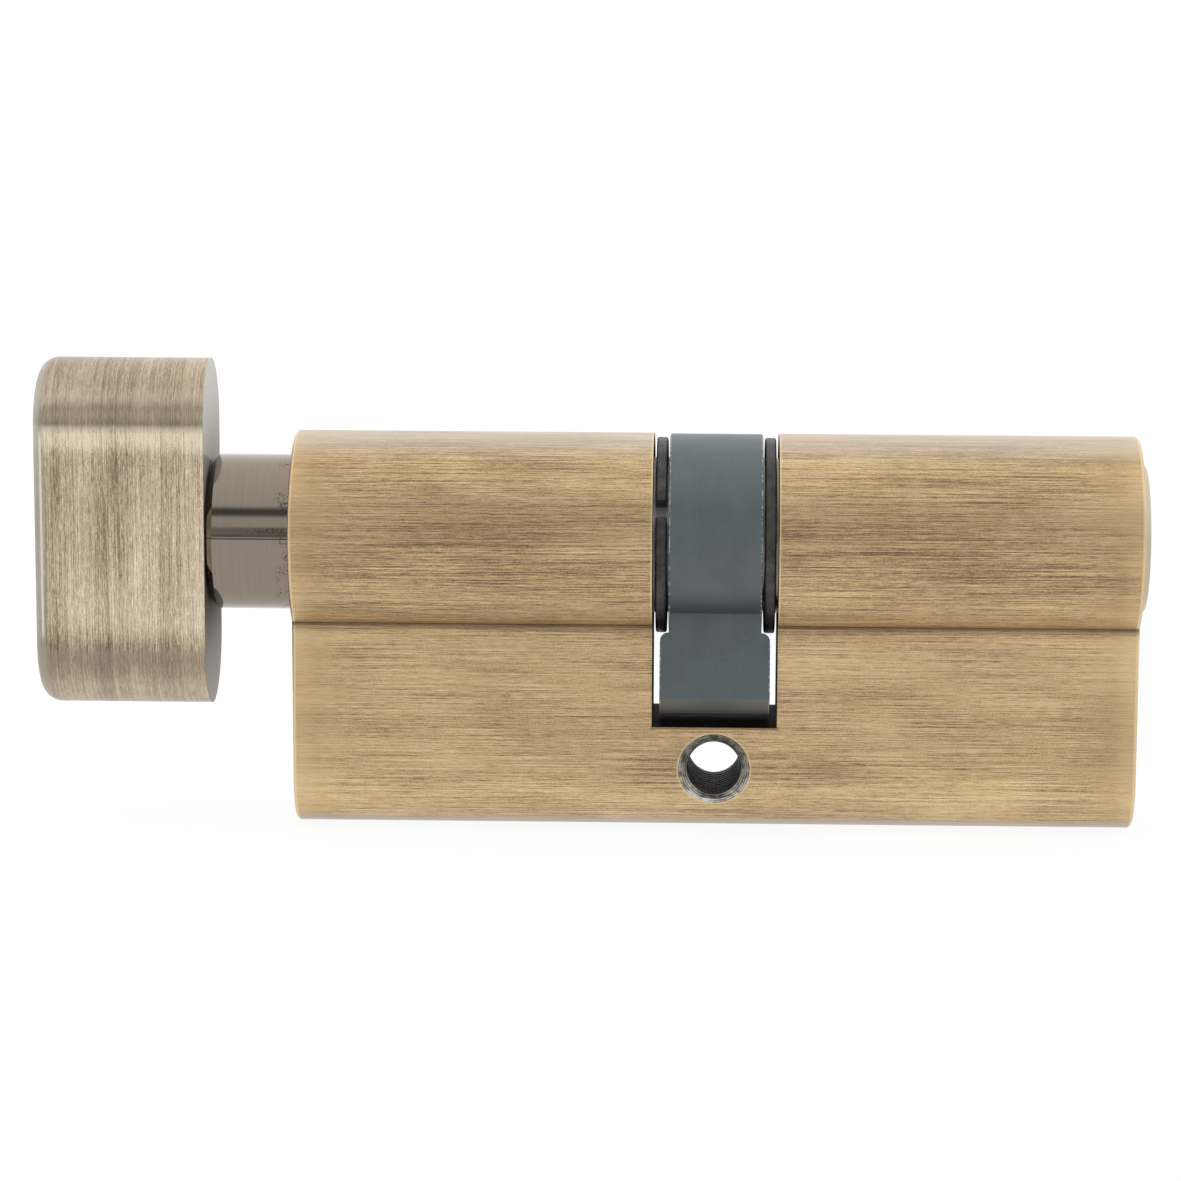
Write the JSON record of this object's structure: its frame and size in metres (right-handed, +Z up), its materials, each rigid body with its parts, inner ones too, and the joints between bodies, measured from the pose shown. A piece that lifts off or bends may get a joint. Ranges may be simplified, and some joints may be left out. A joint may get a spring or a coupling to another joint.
{
  "type": "thumb turn euro cylinder",
  "caption": "Profile lock cylinder with a round barrel over a flat stem, an oval thumb turn at one end, a key plug at the other and a cam in the middle cut-out.",
  "frame": {"origin": "centre of the fixing-screw hole, halfway through the stem", "axes": "+X along the barrel towards the key's side, +Y through the stem's thickness along the fixing-screw hole, +Z up from the stem to the barrel"},
  "size_m": [0.0919, 0.0171, 0.039],
  "materials": {
    "body_brass": "antique brass, brushed along the barrel, lacquered",
    "knob_brass": "antique brass, brushed around the knob, lacquered",
    "plug_brass": "turned brass with a dull nickel wash",
    "pin_brass": "plain turned brass",
    "polished_nickel": "polished dark nickel",
    "cam_steel": "phosphated sintered steel",
    "blackened_steel": "blackened spring steel",
    "plain_steel": "plain turned steel",
    "spring_steel": "drawn spring wire"
  },
  "bodies": {
    "body": {"housing": "body_brass", "chamber_plug_1": "body_brass", "chamber_plug_2": "body_brass", "chamber_plug_3": "body_brass", "chamber_plug_4": "body_brass", "chamber_plug_5": "body_brass", "chamber_plug_6": "body_brass", "pin_spring_1": "spring_steel", "pin_spring_2": "spring_steel", "pin_spring_3": "spring_steel", "pin_spring_4": "spring_steel", "pin_spring_5": "spring_steel", "pin_spring_6": "spring_steel"},
    "turn": {"thumb_turn": "knob_brass", "turn_plug": "polished_nickel", "turn_screw": "blackened_steel", "cam": "cam_steel", "drive_bar": "plain_steel", "retaining_ring_left": "blackened_steel", "clutch_spring": "spring_steel"},
    "key_plug": {"key_plug": "plug_brass", "retaining_ring_right": "blackened_steel"},
    "clutch": {"clutch_slider": "pin_brass"},
    "key_pin_1": {"key_pin_1": "pin_brass"},
    "driver_pin_1": {"driver_pin_1": "plain_steel"},
    "key_pin_2": {"key_pin_2": "pin_brass"},
    "driver_pin_2": {"driver_pin_2": "plain_steel"},
    "key_pin_3": {"key_pin_3": "pin_brass"},
    "driver_pin_3": {"driver_pin_3": "plain_steel"},
    "key_pin_4": {"key_pin_4": "pin_brass"},
    "driver_pin_4": {"driver_pin_4": "plain_steel"},
    "key_pin_5": {"key_pin_5": "pin_brass"},
    "driver_pin_5": {"driver_pin_5": "plain_steel"},
    "key_pin_6": {"key_pin_6": "pin_brass"},
    "driver_pin_6": {"driver_pin_6": "plain_steel"}
  },
  "joints": [
    {"name": "turn_spin", "type": "hinge", "parent": "body", "child": "turn", "pos_m": [0, 0, 0.0189], "axis": [1, 0, 0], "continuous": true},
    {"name": "key_plug_spin", "type": "hinge", "parent": "body", "child": "key_plug", "pos_m": [0, 0, 0.0189], "axis": [1, 0, 0], "continuous": true},
    {"name": "clutch_slide", "type": "slide", "parent": "key_plug", "child": "clutch", "axis": [-1, 0, 0], "range_m": [0, 0.002], "stiffness_N_per_m": 150, "springref_m": -0.004, "deforming": ["clutch_spring"]},
    {"name": "key_pin_1_slide", "type": "slide", "parent": "key_plug", "child": "key_pin_1", "axis": [0, 0, 1], "range_m": [0, 0.00125]},
    {"name": "key_pin_2_slide", "type": "slide", "parent": "key_plug", "child": "key_pin_2", "axis": [0, 0, 1], "range_m": [0, 0.00215]},
    {"name": "key_pin_3_slide", "type": "slide", "parent": "key_plug", "child": "key_pin_3", "axis": [0, 0, 1], "range_m": [0, 0.0008]},
    {"name": "key_pin_4_slide", "type": "slide", "parent": "key_plug", "child": "key_pin_4", "axis": [0, 0, 1], "range_m": [0, 0.0017]},
    {"name": "key_pin_5_slide", "type": "slide", "parent": "key_plug", "child": "key_pin_5", "axis": [0, 0, 1], "range_m": [0, 0.0026]},
    {"name": "key_pin_6_slide", "type": "slide", "parent": "key_plug", "child": "key_pin_6", "axis": [0, 0, 1], "range_m": [0, 0.00125]},
    {"name": "driver_pin_1_slide", "type": "slide", "parent": "body", "child": "driver_pin_1", "axis": [0, 0, 1], "range_m": [-0.0024, 0], "stiffness_N_per_m": 100, "springref_m": 0.006, "deforming": ["pin_spring_1"]},
    {"name": "driver_pin_2_slide", "type": "slide", "parent": "body", "child": "driver_pin_2", "axis": [0, 0, 1], "range_m": [-0.0024, 0], "stiffness_N_per_m": 100, "springref_m": 0.006, "deforming": ["pin_spring_2"]},
    {"name": "driver_pin_3_slide", "type": "slide", "parent": "body", "child": "driver_pin_3", "axis": [0, 0, 1], "range_m": [-0.0024, 0], "stiffness_N_per_m": 100, "springref_m": 0.006, "deforming": ["pin_spring_3"]},
    {"name": "driver_pin_4_slide", "type": "slide", "parent": "body", "child": "driver_pin_4", "axis": [0, 0, 1], "range_m": [-0.0024, 0], "stiffness_N_per_m": 100, "springref_m": 0.006, "deforming": ["pin_spring_4"]},
    {"name": "driver_pin_5_slide", "type": "slide", "parent": "body", "child": "driver_pin_5", "axis": [0, 0, 1], "range_m": [-0.0024, 0], "stiffness_N_per_m": 100, "springref_m": 0.006, "deforming": ["pin_spring_5"]},
    {"name": "driver_pin_6_slide", "type": "slide", "parent": "body", "child": "driver_pin_6", "axis": [0, 0, 1], "range_m": [-0.0024, 0], "stiffness_N_per_m": 100, "springref_m": 0.006, "deforming": ["pin_spring_6"]}
  ]
}
